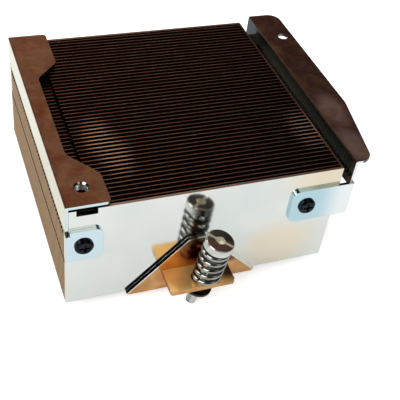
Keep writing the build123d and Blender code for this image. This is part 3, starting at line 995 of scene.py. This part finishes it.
@dataclass
class SideBrackets:
    """The two sheet brackets with their black screws and the thread of the flange hole."""

    sheet_mm: float = 0.9
    right_gap_mm: float = 3.6
    # Scuffs on the right flange, from the right side and the front of the fins.
    scuffs_mm: tuple[tuple[float, float], ...] = ((7.0, 7.0), (8.0, 24.0))
    pale_from_mm: float = 36.0
    hole_radius_mm: float = 1.7
    thread_depth_mm: float = 0.14
    thread_pitch_mm: float = 0.55
    thread_rows: int = 10
    mouth_mm: float = 0.5
    collar_mm: float = 1.6
    sleeve_mm: float = 0.06

    def dress(self) -> None:
        """Gives the brackets their zinc and the tab screws their black oxide."""
        low, high = box_mm("left_bracket")
        fins_right = box_mm("fin_10")[1].x
        front = front_face_mm()
        bounds = (front, -front, high.z)
        # Zinc over cold rolled sheet: a pale bluish mirror with a slight waviness.
        dress(["left_bracket"], ZincSheet("zinc_plated_left_bracket", "#a09c94", "#8f877a",
                                          0.15, 8.0, sheet_mm=(low.x, *bounds)))
        # The same zinc, which has gone duller and redder on the flange that is handled; its
        # tone, darker than the left bracket's, is partly painted shade.
        dress(["right_bracket"], ZincSheet(
            "zinc_plated_right_bracket", "#807a7a", "#6f6969", 0.15, 8.0,
            sheet_mm=(-FAR_MM, *bounds), wall_mm=fins_right + self.right_gap_mm,
            tab_reflection_blue="#bcdae6", pale_from_mm=self.pale_from_mm, rust="#7a5a52",
            scuffs_mm=tuple((fins_right + across, front + back, high.z)
                            for across, back in self.scuffs_mm)))
        # Black oxide: nearly black, with small sharp glints in the recess.
        dress(["bracket_screws"], Metal("black_oxide_steel", "#2a2f37", "#15181d", 0.2, 1.2,
                                        edge_mm=0.2))

    def build_thread(self) -> None:
        """Cuts the thread of the left flange hole, as a closed sleeve inside the collar."""
        hole = flange_hole_mm()
        top = box_mm("left_bracket")[1].z
        floor = top - self.sheet_mm - self.collar_mm
        roof = top - self.mouth_mm
        steps = round((roof - floor) / self.thread_pitch_mm * self.thread_rows)
        outer = self.hole_radius_mm + self.sleeve_mm
        rows = [Turn(outer, floor), Turn(self.hole_radius_mm, floor)]
        for step in range(steps + 1):
            height = floor + (roof - floor) * step / steps
            rows.append(Turn(self.hole_radius_mm, height, self.thread_depth_mm))
        rows += [Turn(self.hole_radius_mm, roof), Turn(outer, roof), Turn(outer, floor)]
        lathe = Lathe(Vector((hole.x, hole.y, 0)), Vector((0, 0, 1)), self.thread_pitch_mm)
        # Fresh zinc inside the hole: brighter than the handled sheet around it.
        finish = Metal("tapped_zinc_thread", "#eef1f3", "#cfd6da", 0.25, 1.0, edge_mm=0.03)
        piece = add_piece("flange_thread", lathe.mesh("flange_thread", rows, closed=True),
                          finish.build())
        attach(piece, "root")


@dataclass(frozen=True)
class Turn:
    """One ring of a turned shape: radius and height, and how deep a thread cuts it."""

    radius_mm: float
    height_mm: float
    thread_mm: float = 0.0


@dataclass
class Lathe:
    """Turns shapes about an axis, with threads where a ring asks for one."""

    centre_mm: Vector
    axis: Vector
    pitch_mm: float = 1.0
    segments: int = 64
    merge: float = 1e-7

    def across(self) -> tuple[Vector, Vector]:
        """Finds the two directions across the axis.

        Returns:
            The direction nearest to X, and the one square to it and to the axis.
        """
        along = Vector((1, 0, 0))
        first = (along - self.axis * along.dot(self.axis)).normalized()
        return first, self.axis.cross(first)

    def point(self, turn: Turn, angle: float) -> Vector:
        """Places one point of a ring.

        Args:
            turn: The ring.
            angle: Angle about the axis in radians.

        Returns:
            The point in metres.
        """
        first, second = self.across()
        phase = (turn.height_mm / self.pitch_mm - angle / math.tau) % 1.0
        radius = turn.radius_mm - turn.thread_mm * (1 - abs(2 * phase - 1))
        spoke = first * math.cos(angle) + second * math.sin(angle)
        return (self.centre_mm + self.axis * turn.height_mm + spoke * radius) * MM

    def mesh(self, name: str, rows: list[Turn], closed: bool = False) -> bpy.types.Mesh:
        """Builds the turned mesh.

        Args:
            name: Name of the mesh.
            rows: Its rings in order.
            closed: True for a ring shape whose last row joins its first.

        Returns:
            A closed mesh with faces that point outwards.
        """
        shape = bmesh.new()
        rings = []
        for row in rows[:-1] if closed else rows:
            rings.append([shape.verts.new(self.point(row, math.tau * i / self.segments))
                          for i in range(self.segments)])
        pairs = list(zip(rings, rings[1:]))
        if closed:
            pairs.append((rings[-1], rings[0]))
        else:
            shape.faces.new(rings[0])
            shape.faces.new(rings[-1])
        for lower, upper in pairs:
            for i in range(self.segments):
                j = (i + 1) % self.segments
                shape.faces.new((lower[i], lower[j], upper[j], upper[i]))
        bmesh.ops.remove_doubles(shape, verts=shape.verts, dist=self.merge)
        bmesh.ops.recalc_face_normals(shape, faces=shape.faces)
        mesh = bpy.data.meshes.new(name)
        shape.to_mesh(mesh)
        shape.free()
        return mesh


@dataclass
class CaptiveScrew:
    """One captive screw with its spring and retaining ring, placed by its joint.

    Lengths are in millimetres from the seat, the screw's point at the top of the ear.
    """

    end: End
    slot_turn_deg: float
    # Where the foot of the spring stands on the ear, from the seat.
    foot_shift: tuple[float, float] = (0.0, 0.0)
    spring_length: float = 14.0
    wire: float = 1.5
    wire_sides: int = 18
    coil_radius: float = 3.45
    coil_steps: int = 40
    turns: float = 5.2
    closed_turns: float = 0.75
    travel: float = 4.0
    head_radius: float = 4.15
    head_height: float = 2.6
    head_chamfer: float = 0.1
    head_round: float = 0.4
    round_steps: int = 6
    recess_rim: float = 0.2
    shank_radius: float = 1.5
    groove_radius: float = 1.2
    ring_drop: float = 3.3
    ring_sheet: float = 0.8
    neck: float = 0.3
    tip_end: float = 11.3
    tip_round: float = 0.4
    tip_lip: tuple[float, float] = (0.2, 0.05)
    thread_pitch: float = 0.8
    thread_depth: float = 0.2
    thread_rows: int = 10
    thread_fade: int = 5
    segments: int = 96
    slot_width: float = 0.8
    slot_depth: float = 0.7
    socket_radius: float = 1.3
    socket_depth: float = 1.4
    socket_sides: int = 6
    overshoot: float = 1.0
    screw_crease_deg: float = 35.0
    wire_crease_deg: float = 50.0

    def seat(self) -> tuple[Vector, Vector]:
        """Finds where the screw stands from the joint that it turns on.

        Returns:
            The seat in millimetres and the screw's upward axis.
        """
        name = f"{self.end.value}_screw_turn"
        turn = next(j for j in frame["record"]["behaviour"]["joints"] if j["name"] == name)
        return Vector(turn["pos_m"]) / MM, -Vector(turn["axis"]).normalized()

    def roof(self) -> float:
        """Gives the height of the head's top above the seat."""
        return self.spring_length + self.head_height

    def finish(self, name: str, colour: str, shade: str, roughness: float, mottle_mm: float,
               **extra: float) -> ScrewSteel:
        """Places a steel about the screw's axis.

        Args:
            name: Name of the material.
            colour: Its colour.
            shade: Its darker colour.
            roughness: Its roughness.
            mottle_mm: Size of its mottling.
            extra: Other values of the finish.

        Returns:
            The finish.
        """
        seat, axis = self.seat()
        inward = 1.0 if self.end is End.FRONT else -1.0
        return ScrewSteel(name, colour, shade, roughness, mottle_mm, seat_mm=tuple(seat),
                          axis=tuple(axis), inward=inward, **extra)

    def profile(self) -> list[Turn]:
        """Lists the rings of the screw from its tip to its head.

        Returns:
            The rings, with the thread between the tip and the neck.
        """
        tip = -self.tip_end
        ring_foot = -self.ring_drop - self.ring_sheet
        narrowing, rise = self.tip_lip
        rows = [Turn(self.shank_radius - self.tip_round - narrowing, tip),
                Turn(self.shank_radius - self.tip_round, tip + rise)]
        low = tip + self.tip_round
        high = ring_foot - self.neck
        steps = round((high - low) / self.thread_pitch * self.thread_rows)
        for step in range(steps + 1):
            fade = min(step / self.thread_fade, (steps - step) / self.thread_fade, 1.0)
            height = low + (high - low) * step / steps
            rows.append(Turn(self.shank_radius, height, self.thread_depth * fade))
        for radius, height in (
                (self.shank_radius, ring_foot), (self.groove_radius, ring_foot),
                (self.groove_radius, -self.ring_drop), (self.shank_radius, -self.ring_drop),
                (self.shank_radius, self.spring_length),
                (self.head_radius - self.head_chamfer, self.spring_length),
                (self.head_radius, self.spring_length + self.head_chamfer)):
            rows.append(Turn(radius, height))
        for step in range(self.round_steps + 1):
            angle = math.pi / 2 * step / self.round_steps
            rows.append(Turn(
                self.head_radius - self.head_round * (1 - math.cos(angle)),
                self.roof() - self.head_round * (1 - math.sin(angle))))
        return rows

    def cutter(self, name: str, size: Triple, corners: int) -> bpy.types.Object:
        """Makes the tool that sinks the slot or the socket into the head.

        Args:
            name: Name of the tool.
            size: Half length, half width and depth in millimetres.
            corners: Number of corners of its outline, four for the slot.

        Returns:
            The tool, a closed prism.
        """
        half_length, half_width, depth = size
        seat, axis = self.seat()
        turn = Matrix.Rotation(math.radians(self.slot_turn_deg), 3, axis)
        first, second = (turn @ side for side in Lathe(seat, axis).across())
        reach = 1 / math.cos(math.pi / corners)
        shape = bmesh.new()
        rings = []
        for height in (self.roof() - depth, self.roof() + self.overshoot):
            ring = []
            for i in range(corners):
                angle = math.tau * (i + 0.5) / corners
                spoke = (first * math.cos(angle) * half_length
                         + second * math.sin(angle) * half_width) * reach
                ring.append(shape.verts.new((seat + axis * height + spoke) * MM))
            rings.append(ring)
            shape.faces.new(ring)
        for i in range(corners):
            j = (i + 1) % corners
            shape.faces.new((rings[0][i], rings[0][j], rings[1][j], rings[1][i]))
        bmesh.ops.recalc_face_normals(shape, faces=shape.faces)
        mesh = bpy.data.meshes.new(name)
        shape.to_mesh(mesh)
        shape.free()
        tool = bpy.data.objects.new(name, mesh)
        bpy.context.scene.collection.objects.link(tool)
        return tool

    def build_screw(self) -> None:
        """Turns the screw, threads its tip and cuts the slot and the socket."""
        seat, axis = self.seat()
        name = f"{self.end.value}_captive_screw"
        lathe = Lathe(seat, axis, self.thread_pitch, self.segments)
        work = bpy.data.objects.new(name, lathe.mesh(name, self.profile()))
        bpy.context.scene.collection.objects.link(work)
        slot = (self.head_radius + self.overshoot, self.slot_width / 2, self.slot_depth)
        socket = (self.socket_radius, self.socket_radius, self.socket_depth)
        tools = [self.cutter("slot_cutter", slot, 4),
                 self.cutter("socket_cutter", socket, self.socket_sides)]
        for tool in tools:
            cut = work.modifiers.new(tool.name, "BOOLEAN")
            cut.operation = "DIFFERENCE"
            cut.solver = "EXACT"
            cut.object = tool
        view = bpy.context.evaluated_depsgraph_get()
        mesh = bpy.data.meshes.new_from_object(work.evaluated_get(view))
        for scrap in [work, *tools]:
            bpy.data.objects.remove(scrap)
        mesh.name = name
        mesh.shade_smooth()
        mesh.set_sharp_from_angle(angle=math.radians(self.screw_crease_deg))
        # Turned and nickel plated steel: a mirror that takes the tone of the room around it.
        finish = self.finish("turned_nickel_screw", "#dcdeda", "#c6c9c5", 0.09, 3.0,
                             edge_mm=0.08, roof_mm=self.roof(),
                             rim_mm=self.head_radius - self.recess_rim)
        piece = add_piece(name, mesh, finish.build())
        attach(piece, f"{self.end.value}_driver")
        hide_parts(f"{self.end.value}_screw")

    def coil_tree(self, material: bpy.types.Material) -> bpy.types.NodeTree:
        """Builds the node tree that winds a compression spring with closed ends.

        Args:
            material: The finish of the wire.

        Returns:
            The tree, with named inputs for its sizes.
        """
        tree = bpy.data.node_groups.new("closed_end_spring", "GeometryNodeTree")
        face = tree.interface
        for kind, names in (
                ("NodeSocketVector", ("Foot", "Run", "Foot Across", "Foot Along",
                                      "Head Across", "Head Along")),
                ("NodeSocketFloat", ("Wire", "Coil Radius", "Turns", "Closed Turns")),
                ("NodeSocketInt", ("Steps", "Sides"))):
            for name in names:
                face.new_socket(name=name, in_out="INPUT", socket_type=kind)
        face.new_socket(name="Geometry", in_out="OUTPUT", socket_type="NodeSocketGeometry")
        size = add_node(tree, "NodeGroupInput").outputs
        # How many turns lie below a point of the wire, and how many of them are open.
        factor = add_node(tree, "GeometryNodeSplineParameter").outputs["Factor"]
        turn = add_node(tree, "ShaderNodeMath", {"operation": "MULTIPLY"}, {
            0: factor, 1: size["Turns"]}).outputs[0]
        both_ends = add_node(tree, "ShaderNodeMath", {"operation": "MULTIPLY"}, {
            0: size["Closed Turns"], 1: 2.0}).outputs[0]
        open_turns = add_node(tree, "ShaderNodeMath", {"operation": "SUBTRACT"}, {
            0: size["Turns"], 1: both_ends}).outputs[0]
        past_end = add_node(tree, "ShaderNodeMath", {"operation": "SUBTRACT"}, {
            0: turn, 1: size["Closed Turns"]}).outputs[0]
        lift = add_node(tree, "ShaderNodeClamp", {}, {
            "Value": past_end, "Min": 0.0, "Max": open_turns}).outputs["Result"]
        closed = add_node(tree, "ShaderNodeMath", {"operation": "SUBTRACT"}, {
            0: turn, 1: lift}).outputs[0]
        # The height: a wire's thickness for each closed turn and a pitch for each open one.
        length = add_node(tree, "ShaderNodeVectorMath", {"operation": "LENGTH"}, {
            0: size["Run"]}).outputs["Value"]
        half_wire = add_node(tree, "ShaderNodeMath", {"operation": "MULTIPLY"}, {
            0: size["Wire"], 1: 0.5}).outputs[0]
        end_rise = add_node(tree, "ShaderNodeMath", {"operation": "MULTIPLY_ADD"}, {
            0: size["Wire"], 1: both_ends, 2: size["Wire"]}).outputs[0]
        open_rise = add_node(tree, "ShaderNodeMath", {"operation": "SUBTRACT"}, {
            0: length, 1: end_rise}).outputs[0]
        pitch = add_node(tree, "ShaderNodeMath", {"operation": "DIVIDE"}, {
            0: open_rise, 1: open_turns}).outputs[0]
        lower = add_node(tree, "ShaderNodeMath", {"operation": "MULTIPLY_ADD"}, {
            0: size["Wire"], 1: closed, 2: half_wire}).outputs[0]
        height = add_node(tree, "ShaderNodeMath", {"operation": "MULTIPLY_ADD"}, {
            0: lift, 1: pitch, 2: lower}).outputs[0]
        share = add_node(tree, "ShaderNodeMath", {"operation": "DIVIDE"}, {
            0: height, 1: length}).outputs[0]
        # The spoke turns in the ear's plane at the foot and in the head's at the top.
        angle = add_node(tree, "ShaderNodeMath", {"operation": "MULTIPLY"}, {
            0: turn, 1: math.tau}).outputs[0]
        spoke = (0.0, 0.0, 0.0)
        for word, wave in (("Across", "COSINE"), ("Along", "SINE")):
            side = add_node(tree, "ShaderNodeMix", {"data_type": "VECTOR"}, {
                "Factor": share, VECTOR_A: size[f"Foot {word}"], VECTOR_B: size[f"Head {word}"]})
            swing = add_node(tree, "ShaderNodeMath", {"operation": wave}, {0: angle})
            spoke = add_node(tree, "ShaderNodeVectorMath", {"operation": "MULTIPLY_ADD"}, {
                0: side.outputs[VECTOR_OUT], 1: swing.outputs[0], 2: spoke}).outputs[0]
        centre = add_node(tree, "ShaderNodeVectorMath", {"operation": "MULTIPLY_ADD"}, {
            0: size["Run"], 1: share, 2: size["Foot"]}).outputs[0]
        place = add_node(tree, "ShaderNodeVectorMath", {"operation": "MULTIPLY_ADD"}, {
            0: spoke, 1: size["Coil Radius"], 2: centre}).outputs[0]
        line = add_node(tree, "GeometryNodeCurvePrimitiveLine")
        wire = add_node(tree, "GeometryNodeResampleCurve", {}, {
            "Curve": line.outputs["Curve"], "Count": size["Steps"]})
        wound = add_node(tree, "GeometryNodeSetPosition", {}, {
            "Geometry": wire.outputs["Curve"], "Position": place})
        section = add_node(tree, "GeometryNodeCurvePrimitiveCircle", {}, {
            "Resolution": size["Sides"], "Radius": half_wire})
        tube = add_node(tree, "GeometryNodeCurveToMesh", {}, {
            "Curve": wound.outputs["Geometry"], "Profile Curve": section.outputs["Curve"],
            "Fill Caps": True})
        real = add_node(tree, "GeometryNodeRealizeInstances", {}, {
            "Geometry": tube.outputs["Mesh"]})
        dressed = add_node(tree, "GeometryNodeSetMaterial", {}, {
            "Geometry": real.outputs["Geometry"], "Material": material})
        add_node(tree, "NodeGroupOutput", {}, {"Geometry": dressed.outputs["Geometry"]})
        return tree

    def build_spring(self) -> None:
        """Winds the spring between the ear and the head."""
        seat, axis = self.seat()
        first, second = Lathe(seat, axis).across()
        foot = seat + Vector((*self.foot_shift, 0))
        run = seat + axis * self.spring_length - foot
        # Drawn spring wire: a dark mirror with a bright line along the top of each turn.
        finish = self.finish("drawn_spring_wire", "#a4a5a2", "#888a86", 0.07, 2.0,
                             edge_mm=0.02)
        material = finish.build()
        tree = self.coil_tree(material)
        values = {
            "Foot": foot * MM, "Run": run * MM, "Foot Across": Vector((1, 0, 0)),
            "Foot Along": Vector((0, 1, 0)), "Head Across": first, "Head Along": second,
            "Wire": self.wire * MM, "Coil Radius": self.coil_radius * MM,
            "Turns": self.turns, "Closed Turns": self.closed_turns,
            "Steps": round(self.turns * self.coil_steps), "Sides": self.wire_sides}
        name = f"{self.end.value}_spring_wire"
        blank = bpy.data.objects.new(name, bpy.data.meshes.new(name))
        bpy.context.scene.collection.objects.link(blank)
        coil = blank.modifiers.new("coil", "NODES")
        coil.node_group = tree
        for item in tree.interface.items_tree:
            if item.in_out == "INPUT":
                coil[item.identifier] = values[item.name]
        view = bpy.context.evaluated_depsgraph_get()
        mesh = bpy.data.meshes.new_from_object(blank.evaluated_get(view))
        bpy.data.objects.remove(blank)
        mesh.shade_smooth()
        mesh.set_sharp_from_angle(angle=math.radians(self.wire_crease_deg))
        piece = add_piece(name, mesh, material)
        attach(piece, "root")
        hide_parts(f"{self.end.value}_spring")
        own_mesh(piece)


def main() -> None:
    """Builds the room, dresses the pieces and reports each one."""
    logging.basicConfig(level=logging.INFO, format="%(name)s: %(message)s")
    bpy.context.scene.view_settings.view_transform = "Standard"
    Photograph().build()
    studio = Studio()
    studio.build_room()
    studio.build_table(CAD_BOX[0][2])
    studio.build_lamp()
    screws = [CaptiveScrew(End.FRONT, slot_turn_deg=-41.0, foot_shift=(0.93, -0.5)),
              CaptiveScrew(End.REAR, slot_turn_deg=20.0)]
    FinStack().dress()
    CopperBase(ear_mm=screws[0].seat()[0].z).dress()
    brackets = SideBrackets()
    brackets.dress()
    brackets.build_thread()
    for screw in screws:
        screw.build_screw()
        screw.build_spring()
    # Blued spring steel: a dark ring that shows as an edge under each ear.
    dress(["front_ring", "rear_ring"], Metal("dark_spring_steel", "#3c3f42", "#2a2c2e", 0.25,
                                             2.0))


if __name__ == "__main__":
    main()
